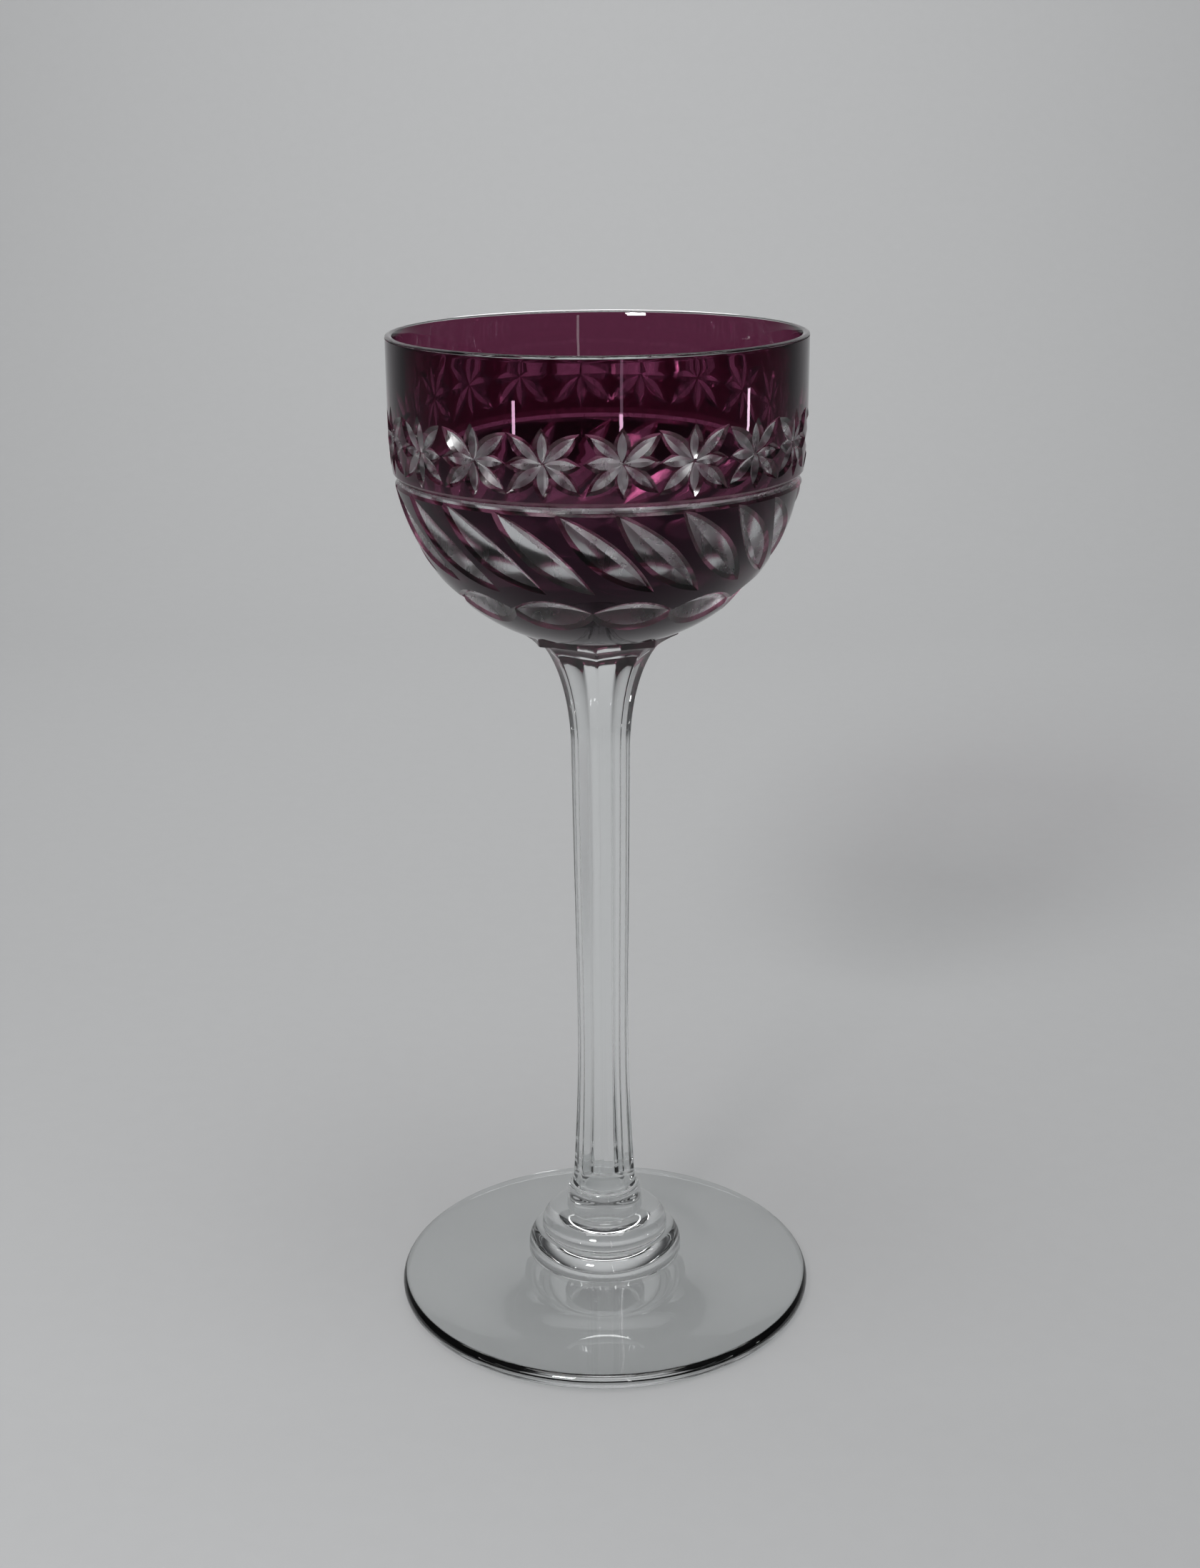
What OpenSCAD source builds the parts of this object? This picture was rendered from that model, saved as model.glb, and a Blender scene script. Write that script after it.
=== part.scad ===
// Cut-to-clear cordial glass: an amethyst-cased crystal bowl on a fluted stem,
// three collars and a round foot. The origin is the centre of the foot's underside.

/* [Bowl] */
// Outer diameter of the bowl at the rim
rim_d = 50; // [44:0.5:60]
// Height of the bowl from its seat on the stem to the rim
bowl_h = 35.5; // [32:0.5:42]
// Height of the straight wall below the rim
straight_h = 10.5; // [8:0.5:14]
// How far the bowl's curve would go on below its seat
seat_trim = 2; // [1:0.1:3]
// Exponent of the bowl's curve, where 2 is an ellipse
bowl_fullness = 2.17; // [2:0.01:2.5]
// Thickness of the whole wall at the rim
rim_wall = 0.9; // [0.8:0.05:1.6]
// Thickness of the whole wall where the stars are cut
band_wall = 2.2; // [1.8:0.1:3]
// Height of glass between the seat and the inside of the bowl
floor_t = 3.2; // [2.5:0.1:6]
// Thickness of the amethyst casing
casing_t = 0.35; // [0.2:0.05:0.5]
// Width of the clear polished edge of the lip
lip_clear_h = 0.5; // [0.3:0.1:1]

/* [Star cuts] */
// Number of eight-pointed stars round the bowl
star_count = 18; // [12:1:24]
// Turn of a star's centre from the front
star_turn = 5.8; // [-10:0.1:10]
// Depth of the stars' centres below the rim
star_drop = 11.8; // [11:0.1:13]
// Length of an upright ray
ray_upright_l = 4.1; // [3:0.1:4.5]
// Length of a slanted ray
ray_slant_l = 5.5; // [4:0.1:6]
// Lean of a slanted ray from the upright
ray_slant_angle = 51; // [40:1:55]
// Width of a ray at its middle
ray_w = 1.8; // [1:0.1:2]
// Depth of a ray at its middle
ray_depth = 0.7; // [0.5:0.05:0.9]

/* [Ring groove] */
// Depth of the ring groove below the rim
ring_drop = 16.9; // [16.5:0.1:18]
// Width of the ring groove
ring_w = 1.5; // [0.8:0.1:1.6]
// Depth of the ring groove
ring_depth = 0.6; // [0.45:0.05:0.8]

/* [Slanted cuts] */
// Number of slanted cuts
swirl_count = 21; // [15:1:24]
// Turn of a slanted cut's middle from the front
swirl_turn = 0.9; // [-10:0.1:10]
// Depth of the slanted cuts' middles below the rim
swirl_drop = 22.6; // [22:0.1:24]
// Lean of the slanted cuts from the upright
swirl_angle = 46; // [35:1:50]
// Width of a slanted cut
swirl_w = 4; // [3:0.1:4.4]
// Depth of a slanted cut at its middle
swirl_depth = 1.3; // [1:0.05:1.4]

/* [Base cuts] */
// Number of oval cuts round the bowl's base
oval_count = 12; // [10:1:14]
// Turn of an oval cut's middle from the front
oval_turn = 12; // [-15:0.1:15]
// Depth of the oval cuts' middles below the rim
oval_drop = 30.5; // [30:0.1:31.5]
// Height of an oval cut, measured along the glass
oval_w = 6; // [3.5:0.1:6.4]
// Depth of an oval cut at its middle
oval_depth = 1.15; // [0.7:0.05:1.3]

/* [Stem] */
// Number of flutes round the stem
flute_count = 8; // [6:2:10]
// Turn of a corner between two flutes from the front
flute_turn = -3; // [-20:0.5:20]
// Height of the stem
stem_h = 76.8; // [60:0.2:90]
// Width of the stem across two corners at its foot
stem_foot_d = 8.4; // [7.5:0.1:9]
// Width of the stem across two corners at its waist
stem_waist_d = 6.8; // [5.5:0.1:7.5]
// Height of the waist above the stem's lower end
stem_waist_h = 22; // [15:0.5:30]
// Width of the stem across two corners below the flare
stem_neck_d = 7.6; // [6:0.1:9]
// Height of the flare that carries the bowl
flare_h = 15.2; // [10:0.2:18]
// Width of the flare across two corners below its edge
flare_d = 19.6; // [16:0.1:20.4]
// Height of the flare's upright edge
flare_edge_h = 0.9; // [0.4:0.1:1.2]
// How far the flare's edge leans out
flare_edge_lean = 0.25; // [0.1:0.05:0.6]

/* [Collars] */
// Height of the bead under the stem
bead_h = 3.7; // [2.5:0.1:5]
// Diameter of the bead
bead_d = 10; // [9.2:0.1:12]
// Height of the bead's full width, below its round shoulder
bead_band_h = 0.6; // [0.3:0.1:1]
// Height of the middle collar
middle_collar_h = 3; // [2:0.1:4]
// Diameter of the middle collar
middle_collar_d = 16.8; // [14:0.1:18]
// Width of the middle collar's round shoulder
middle_shoulder_w = 2.8; // [1.5:0.1:3]
// Height of the foot collar
foot_collar_h = 3; // [2:0.1:4]
// Diameter of the foot collar
foot_collar_d = 20.5; // [19:0.1:24]
// Width of the foot collar's round shoulder
foot_shoulder_w = 2; // [1:0.1:3]
// Height of the two collars' full width, below their round shoulders
collar_band_h = 0.4; // [0.2:0.1:0.8]

/* [Foot] */
// Diameter of the foot
foot_d = 54.8; // [48:0.2:64]
// Height of the foot at its middle
foot_h = 5; // [4:0.1:7]
// Thickness of the foot at its rounded edge
foot_edge_t = 2.1; // [1.6:0.1:2.8]
// Width of the flat ring that the foot rests on
foot_rest_w = 3.5; // [2.5:0.1:6]
// Depth of the hollow under the foot
foot_hollow = 0.7; // [0.3:0.1:1.2]

/* [Hidden] */
$fn = 96;

// Levels, from the table up
foot_collar_z = foot_h;
middle_collar_z = foot_collar_z + foot_collar_h;
bead_z = middle_collar_z + middle_collar_h;
stem_z = bead_z + bead_h;
seat_z = stem_z + stem_h;
rim_z = seat_z + bowl_h;
curve_z = rim_z - straight_h;
star_z = rim_z - star_drop;
ring_z = rim_z - ring_drop;
swirl_z = rim_z - swirl_drop;
oval_z = rim_z - oval_drop;

// Sizes of the bowl's three surfaces: outside, under the casing, inside
bowl_r = rim_d / 2;
curve_h = bowl_h - straight_h + seat_trim;
core_r = bowl_r - casing_t;
core_h = curve_h - casing_t;
cup_r = bowl_r - band_wall;
cup_h = bowl_h - straight_h - floor_t;
mouth_r = bowl_r - rim_wall;

// How far every cut runs past the glass, and the length that stands for everywhere
cut_over = 0.4;
beyond = rim_d * 2;

// Distance between two stars' centres round the bowl, and how far rays run past a centre
star_pitch = PI * rim_d / star_count;
ray_overlap = 0.1;

// Length of the straight grooves that make the slanted cuts, past the glass at both ends
swirl_reach = rim_d / 2;
curve_steps = 20;
arc_steps = 8;

degrees_per_radian = 180 / PI;

// Direction of the front, which is -Y, in degrees from +X
front = -90;

// Radius of the bowl's outside at height z, for the places of the cuts
function outside_r(z) =
    z >= curve_z
        ? bowl_r
        : bowl_r * pow(1 - pow((curve_z - z) / curve_h, bowl_fullness), 1 / bowl_fullness);

// Lean of the bowl's outside from the upright at height z
function outside_lean(z) =
    let(drop = max(curve_z - z, 0))
    let(share = pow(drop / curve_h, bowl_fullness - 1) * bowl_r / curve_h)
    atan(share * pow(outside_r(z) / bowl_r, 1 - bowl_fullness));

// Points of the bowl's curve from its widest point down to the axis
function cup_curve(r, h) = [
    for (i = [0 : curve_steps])
        let(a = 90 * i / curve_steps)
        [r * pow(cos(a), 2 / bowl_fullness), curve_z - h * pow(sin(a), 2 / bowl_fullness)]
];

// Points of a quarter of an ellipse, from its side up to its top
function shoulder(x, y, w, h) = [
    for (i = [0 : arc_steps])
        let(a = 90 * i / arc_steps)
        [x - w * (1 - cos(a)), y + h * sin(a)]
];

// Body of revolution of the bowl's outside curve, trimmed at the seat
module cup_blank(r, h, top) {
    difference() {
        rotate_extrude()
            polygon(concat([[0, top], [r, top]], cup_curve(r, h)));
        translate([0, 0, seat_z - beyond])
            cylinder(r = bowl_r, h = beyond);
    }
}

// The inside of the bowl, narrower where the stars are cut than at the mouth
module cup_inside() {
    rotate_extrude()
        polygon(concat(
            [[0, rim_z + cut_over], [mouth_r, rim_z + cut_over], [mouth_r, rim_z]],
            cup_curve(cup_r, cup_h)
        ));
}

// Carries a cutter to the bowl's outside at height z, square to the glass
module on_glass(z, turn) {
    rotate([0, 0, turn])
        translate([outside_r(z), 0, z])
            rotate([0, outside_lean(z), 0])
                children();
}

// Straight V groove along Z: its width is w at the glass, and its bottom lies this deep
module v_groove(length, w, depth) {
    top_w = w * (depth + cut_over) / depth;
    linear_extrude(length, center = true)
        polygon([[-depth, 0], [cut_over, -top_w / 2], [cut_over, top_w / 2]]);
}

// Mitre cut that is deepest at its middle and ends at two points, where the glass lies this low
module mitre(length, w, depth, sag) {
    tilt = atan((depth - sag) / (length / 2));
    intersection_for(side = [-1, 1])
        translate([-depth, 0, 0])
            rotate([0, side * tilt, 0])
                translate([depth, 0, 0])
                    v_groove(length * 2, w, depth);
}

// How far the round glass falls away under the ends of a cut of this length
function fall(length, radius) = radius - sqrt(pow(radius, 2) - pow(length / 2, 2));

// One ray of a star, from just past the star's centre outwards at this lean
module ray(turn, lean, length) {
    reach = length - ray_overlap;
    side = reach / 2 * sin(lean) / bowl_r * degrees_per_radian;
    on_glass(star_z + reach / 2 * cos(lean), turn + side)
        rotate([-lean, 0, 0])
            mitre(length + ray_overlap, ray_w, ray_depth, fall(length * abs(sin(lean)), bowl_r));
}

module star(turn) {
    for (lean = [0, 180])
        ray(turn, lean, ray_upright_l);
    for (lean = [90, 270])
        ray(turn, lean, star_pitch / 2);
    for (side = [-1, 1])
        for (lean = [ray_slant_angle, 180 - ray_slant_angle])
            ray(turn, side * lean, ray_slant_l);
}

module star_cuts() {
    for (i = [0 : star_count - 1])
        star(front + star_turn + i * 360 / star_count);
}

module ring_cut() {
    r = outside_r(ring_z);
    half_w = ring_w / 2 + cut_over;
    edge = half_w * ring_depth / (ring_w / 2);
    rotate_extrude()
        polygon([
            [r - ring_depth, ring_z],
            [r - ring_depth + edge, ring_z - half_w],
            [r - ring_depth + edge, ring_z + half_w]
        ]);
}

module swirl_cuts() {
    for (i = [0 : swirl_count - 1])
        on_glass(swirl_z, front + swirl_turn + i * 360 / swirl_count)
            rotate([swirl_angle, 0, 0])
                v_groove(swirl_reach, swirl_w, swirl_depth);
}

module oval_cuts() {
    r = outside_r(oval_z);
    length = PI * r * 2 / oval_count;
    for (i = [0 : oval_count - 1])
        on_glass(oval_z, front + oval_turn + i * 360 / oval_count)
            rotate([90, 0, 0])
                mitre(length, oval_w, oval_depth, fall(length, r) * cos(outside_lean(oval_z)));
}

// Shell of the casing between two levels
module casing(bottom, top) {
    intersection() {
        difference() {
            cup_blank(bowl_r, curve_h, rim_z);
            cup_blank(core_r, core_h, rim_z + cut_over);
        }
        translate([0, 0, bottom])
            cylinder(r = bowl_r + cut_over, h = top - bottom);
    }
}

module crystal_bowl() {
    color("whitesmoke")
        difference() {
            cup_blank(core_r, core_h, rim_z);
            cup_inside();
            star_cuts();
            ring_cut();
            swirl_cuts();
            oval_cuts();
        }
}

module amethyst_rim_casing() {
    color("rebeccapurple")
        difference() {
            casing(ring_z, rim_z - lip_clear_h);
            star_cuts();
            ring_cut();
        }
}

module amethyst_base_casing() {
    color("rebeccapurple")
        difference() {
            casing(seat_z, ring_z);
            ring_cut();
            swirl_cuts();
            oval_cuts();
        }
}

// Half outline of the stem across its corners, from its lower end up to the seat
function stem_outline() =
    let(neck_z = seat_z - flare_edge_h - flare_h)
    let(flare_w = flare_d / 2 - stem_neck_d / 2)
    concat(
        [for (i = [0 : arc_steps])
            let(a = 90 * i / arc_steps)
            [
                stem_waist_d / 2 + (stem_foot_d - stem_waist_d) / 2 * (1 - sin(a)),
                stem_z + stem_waist_h * i / arc_steps
            ]],
        [for (i = [0 : arc_steps])
            let(a = 90 * i / arc_steps)
            [
                stem_neck_d / 2 + flare_w * (1 - cos(a)),
                neck_z + flare_h * sin(a)
            ]],
        [[flare_d / 2 + flare_edge_lean, seat_z]]
    );

// Each level of the outline is a regular polygon, with a corner between every two flutes
module fluted_stem() {
    color("whitesmoke")
        rotate([0, 0, front + flute_turn])
            rotate_extrude($fn = flute_count)
                polygon(concat([[0, seat_z], [0, stem_z]], stem_outline()));
}

// Collar of full width up to its band's height, then a round shoulder up to its flat top
module collar(z, d, h, shoulder_w, band_h) {
    rotate_extrude()
        polygon(concat(
            [[0, z], [d / 2, z]],
            shoulder(d / 2, z + band_h, shoulder_w, h - band_h),
            [[0, z + h]]
        ));
}

module stem_bead() {
    color("gainsboro")
        collar(bead_z, bead_d, bead_h, (bead_d - stem_foot_d) / 2, bead_band_h);
}

module middle_collar() {
    color("gainsboro")
        collar(middle_collar_z, middle_collar_d, middle_collar_h, middle_shoulder_w, collar_band_h);
}

module foot_collar() {
    color("gainsboro")
        collar(foot_collar_z, foot_collar_d, foot_collar_h, foot_shoulder_w, collar_band_h);
}

module foot() {
    edge_r = foot_edge_t / 2;
    rest_r = foot_d / 2 - edge_r;
    hollow_r = rest_r - foot_rest_w;
    color("whitesmoke")
        difference() {
            union() {
                rotate_extrude()
                    polygon([[0, 0], [rest_r, 0], [rest_r, foot_edge_t], [foot_collar_d / 2, foot_h], [0, foot_h]]);
                rotate_extrude()
                    translate([rest_r, edge_r])
                        circle(r = edge_r);
            }
            rotate_extrude()
                polygon([[0, foot_hollow], [hollow_r, 0], [hollow_r, -cut_over], [0, -cut_over]]);
        }
}

crystal_bowl();
amethyst_rim_casing();
amethyst_base_casing();
fluted_stem();
stem_bead();
middle_collar();
foot_collar();
foot();
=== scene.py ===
"""Cut-to-clear cordial glass: an amethyst-cased crystal bowl on a fluted stem, three collars and a foot.

Every piece is turned, cut and joined as the glassmaker and the cutter do it: blanks are spun, the casing
is laid on the crystal, wheels cut through both, and hot joints leave no seam inside the glass.
"""

import logging
import math
import random
from collections.abc import Callable, Iterable, Sequence
from dataclasses import dataclass, field
from enum import Enum

import bpy
from mathutils import Matrix, Vector


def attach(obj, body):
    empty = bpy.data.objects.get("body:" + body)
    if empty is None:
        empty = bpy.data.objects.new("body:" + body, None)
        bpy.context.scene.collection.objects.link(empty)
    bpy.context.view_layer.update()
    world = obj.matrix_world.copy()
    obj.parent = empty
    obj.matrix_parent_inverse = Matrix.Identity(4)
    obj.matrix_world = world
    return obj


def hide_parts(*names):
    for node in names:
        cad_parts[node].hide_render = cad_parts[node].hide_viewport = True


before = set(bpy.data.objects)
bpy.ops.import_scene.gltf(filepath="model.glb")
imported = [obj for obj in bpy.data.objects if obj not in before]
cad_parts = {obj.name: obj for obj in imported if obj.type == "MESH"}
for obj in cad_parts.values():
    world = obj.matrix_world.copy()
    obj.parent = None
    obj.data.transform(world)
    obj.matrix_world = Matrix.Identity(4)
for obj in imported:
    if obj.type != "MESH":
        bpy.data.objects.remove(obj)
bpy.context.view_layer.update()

log = logging.getLogger("cordial_glass")

Point = tuple[float, float]
Colour = tuple[float, float, float]
Place = tuple[float, float, float]
FaceTest = Callable[[Vector, Vector], bool]

MM = 0.001

# Heights where the pieces meet, in millimetres above the table, as the solids have them
FOOT_TOP = 5.0
FOOT_COLLAR_TOP = 8.0
MIDDLE_COLLAR_TOP = 11.0
BEAD_TOP = 14.7
SEAT = 91.5
RIM = 127.0

# Angles in degrees above which an edge stays crisp
CRISP_CUT = 24.0
CRISP_TURNED = 35.0
CRISP_SHEET = 40.0

# Distances in millimetres: within a weld two points are one, and within a hair a face lies on a level
WELD = 0.004
HAIR = 0.01

# A normal at least this upright belongs to a flat face
UPRIGHT = 0.999

# Share of light that goes on through one clear face of glass
THROUGH_FACE = 0.93


class Slot(Enum):
    """The record's material slots."""

    CRYSTAL = "clear_crystal"
    AMETHYST = "amethyst_glass"


class Zone(Enum):
    """The kinds of face on a glass piece, numbered as its material slots."""

    OUTSIDE = 0
    FUSED = 1
    CUT = 2
    CASED = 3


# Operators, as by hand


def select_only(piece: bpy.types.Object) -> None:
    """Selects one object and makes it the active one.

    Args:
        piece: The object.
    """
    if bpy.context.object and bpy.context.object.mode != "OBJECT":
        bpy.ops.object.mode_set(mode="OBJECT")
    bpy.ops.object.select_all(action="DESELECT")
    piece.select_set(True)
    bpy.context.view_layer.objects.active = piece


def settle(piece: bpy.types.Object) -> None:
    """Puts a piece's place, turn and scale into its mesh."""
    select_only(piece)
    bpy.ops.object.transform_apply(location=True, rotation=True, scale=True)


def add_zones(piece: bpy.types.Object) -> None:
    """Gives a piece an empty material slot for each zone."""
    for _ in Zone:
        piece.data.materials.append(None)


def zone_faces(piece: bpy.types.Object, zone: Zone, wanted: FaceTest | None = None) -> None:
    """Gives faces to a zone.

    Args:
        piece: The piece whose faces are sorted.
        zone: The zone that they take.
        wanted: Says yes to a face, from its middle and its normal. Without it, every face is taken.
    """
    for face in piece.data.polygons:
        if wanted is None or wanted(face.center, face.normal):
            face.material_index = zone.value


def lies_flat(middle: Vector, normal: Vector) -> bool:
    """Says whether a face lies level, looking up or down."""
    return abs(normal.z) > UPRIGHT


def polish(piece: bpy.types.Object, crisp: float) -> None:
    """Shades a piece smooth, but for edges above an angle in degrees."""
    select_only(piece)
    bpy.ops.object.shade_smooth_by_angle(angle=math.radians(crisp))


def lathe(name: str, outline: Sequence[Point], strips: int) -> bpy.types.Object:
    """Spins an outline round the upright axis into a closed body.

    Args:
        name: The new object's name.
        outline: Radius and height of each point, in millimetres, from the axis round to the axis.
        strips: How many flat strips make the full turn.

    Returns:
        The new object, with its normals outward.
    """
    bpy.ops.object.select_all(action="DESELECT")
    bpy.ops.mesh.primitive_plane_add(size=MM, location=(0, 0, 0))
    piece = bpy.context.object
    piece.name = piece.data.name = name
    bpy.ops.object.mode_set(mode="EDIT")
    bpy.ops.mesh.select_all(action="SELECT")
    bpy.ops.mesh.merge(type="CENTER")
    bpy.ops.transform.translate(value=(outline[0][0] * MM, 0, outline[0][1] * MM))
    for start, end in zip(outline, outline[1:]):
        step = ((end[0] - start[0]) * MM, 0, (end[1] - start[1]) * MM)
        bpy.ops.mesh.extrude_region_move(TRANSFORM_OT_translate={"value": step})
    bpy.ops.mesh.select_all(action="SELECT")
    bpy.ops.mesh.spin(steps=strips, angle=math.tau, center=(0, 0, 0), axis=(0, 0, 1))
    bpy.ops.mesh.select_all(action="SELECT")
    bpy.ops.mesh.remove_doubles(threshold=WELD * MM)
    bpy.ops.mesh.normals_make_consistent(inside=False)
    bpy.ops.object.mode_set(mode="OBJECT")
    add_zones(piece)
    return piece


def copy_of(piece: bpy.types.Object, place: Matrix) -> bpy.types.Object:
    """Copies a piece, with a mesh of its own.

    Args:
        piece: The piece.
        place: Where the copy goes.

    Returns:
        The copy.
    """
    twin = piece.copy()
    twin.data = piece.data.copy()
    bpy.context.collection.objects.link(twin)
    twin.matrix_world = place
    return twin


def join_all(wheels: Sequence[bpy.types.Object], name: str) -> bpy.types.Object:
    """Joins wheels into one cutter, with their places in the mesh and every face marked as a cut.

    Args:
        wheels: The wheels, which become the cutter.
        name: The cutter's name.

    Returns:
        The cutter.
    """
    bpy.ops.object.select_all(action="DESELECT")
    for wheel in wheels:
        wheel.select_set(True)
    bpy.context.view_layer.objects.active = wheels[0]
    bpy.ops.object.transform_apply(location=True, rotation=True, scale=True)
    bpy.ops.object.join()
    cutter = bpy.context.object
    cutter.name = name
    cutter.data.materials.clear()
    add_zones(cutter)
    zone_faces(cutter, Zone.CUT)
    return cutter


def drop(piece: bpy.types.Object) -> None:
    """Deletes a helper object and its mesh.

    Args:
        piece: The helper.
    """
    mesh = piece.data
    bpy.data.objects.remove(piece)
    bpy.data.meshes.remove(mesh)


def cut(blank: bpy.types.Object, cutter: bpy.types.Object) -> None:
    """Takes a cutter out of a blank.

    Args:
        blank: The glass that is cut.
        cutter: The closed body that is taken away. It stays for the next blank.
    """
    select_only(blank)
    work = blank.modifiers.new("Wheel", "BOOLEAN")
    work.operation = "DIFFERENCE"
    work.object = cutter
    work.solver = "MANIFOLD"
    bpy.ops.object.modifier_apply(modifier=work.name)


def arc(centre: Point, size: Point, start: float, end: float, steps: int) -> list[Point]:
    """Sets out points on part of an ellipse.

    Args:
        centre: Radius and height of the ellipse's middle.
        size: Its half width and half height.
        start: Angle of the first point in degrees, from outwards and turning up.
        end: Angle of the last point.
        steps: How many steps lie between them.

    Returns:
        Radius and height of each point.
    """
    turns = [math.radians(start + (end - start) * i / steps) for i in range(steps + 1)]
    return [(centre[0] + size[0] * math.cos(a), centre[1] + size[1] * math.sin(a)) for a in turns]


# Finishes


def new_group(name: str, inputs: dict[str, float], outputs: Iterable[str]) -> bpy.types.NodeTree:
    """Starts a shader group with named number sockets.

    Args:
        name: The group's name.
        inputs: Each input and its usual value.
        outputs: Each output.

    Returns:
        The group, with its input and output nodes in place.
    """
    tree = bpy.data.node_groups.new(name, "ShaderNodeTree")
    for label, value in inputs.items():
        socket = tree.interface.new_socket(label, in_out="INPUT", socket_type="NodeSocketFloat")
        socket.default_value = value
    for label in outputs:
        tree.interface.new_socket(label, in_out="OUTPUT", socket_type="NodeSocketFloat")
    tree.nodes.new("NodeGroupInput")
    tree.nodes.new("NodeGroupOutput")
    return tree


def spread_shine(tree: bpy.types.NodeTree, pattern: bpy.types.Node) -> None:
    """Lets a pattern vary a group's roughness, from its least up by its unevenness.

    Args:
        tree: The group.
        pattern: The noise that says where the surface is rougher.
    """
    given, put = tree.nodes["Group Input"], tree.nodes["Group Output"]
    amount = tree.nodes.new("ShaderNodeMath")
    amount.operation = "MULTIPLY_ADD"
    tree.links.new(pattern.outputs["Fac"], amount.inputs[0])
    tree.links.new(given.outputs["Unevenness"], amount.inputs[1])
    tree.links.new(given.outputs["Shine"], amount.inputs[2])
    tree.links.new(amount.outputs[0], put.inputs["Roughness"])


def hand_worked() -> bpy.types.NodeTree:
    """Builds the group for fire-polished glass: slow waves, and a faint uneven shine.

    Returns:
        The group.
    """
    inputs = {"Wave size": 140.0, "Shine": 0.01, "Unevenness": 0.02}
    tree = new_group("Hand-worked glass", inputs, ["Height", "Roughness"])
    nodes, links = tree.nodes, tree.links
    place = nodes.new("ShaderNodeTexCoord")
    waves = nodes.new("ShaderNodeTexNoise")
    waves.inputs["Detail"].default_value = 1.0
    links.new(place.outputs["Object"], waves.inputs["Vector"])
    links.new(nodes["Group Input"].outputs["Wave size"], waves.inputs["Scale"])
    links.new(waves.outputs["Fac"], nodes["Group Output"].inputs["Height"])
    haze = nodes.new("ShaderNodeTexNoise")
    haze.inputs["Scale"].default_value = 420.0
    haze.inputs["Detail"].default_value = 3.0
    links.new(place.outputs["Object"], haze.inputs["Vector"])
    spread_shine(tree, haze)
    return tree


def wheel_marks() -> bpy.types.NodeTree:
    """Builds the group for wheel-cut glass: fine grain and soft streaks left by the polishing wheel.

    Returns:
        The group.
    """
    inputs = {"Grain": 2600.0, "Shine": 0.1, "Unevenness": 0.2}
    tree = new_group("Wheel marks", inputs, ["Height", "Roughness"])
    nodes, links = tree.nodes, tree.links
    place = nodes.new("ShaderNodeTexCoord")
    stretch = nodes.new("ShaderNodeMapping")
    stretch.inputs["Scale"].default_value = (1.0, 1.0, 0.3)
    links.new(place.outputs["Object"], stretch.inputs["Vector"])
    grain = nodes.new("ShaderNodeTexNoise")
    grain.inputs["Detail"].default_value = 2.0
    links.new(stretch.outputs["Vector"], grain.inputs["Vector"])
    links.new(nodes["Group Input"].outputs["Grain"], grain.inputs["Scale"])
    links.new(grain.outputs["Fac"], nodes["Group Output"].inputs["Height"])
    streaks = nodes.new("ShaderNodeTexNoise")
    streaks.inputs["Scale"].default_value = 700.0
    streaks.inputs["Detail"].default_value = 2.0
    links.new(stretch.outputs["Vector"], streaks.inputs["Vector"])
    spread_shine(tree, streaks)
    return tree


@dataclass(frozen=True)
class Surface:
    """How a shared group works the surface of the glass.

    Args:
        group: The group's name.
        scale: The group's first input, the scale of its relief.
        shine: Least roughness.
        unevenness: How much the roughness varies.
        relief: Height of the relief, in millimetres.
    """

    group: str
    scale: float
    shine: float
    unevenness: float
    relief: float


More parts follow.
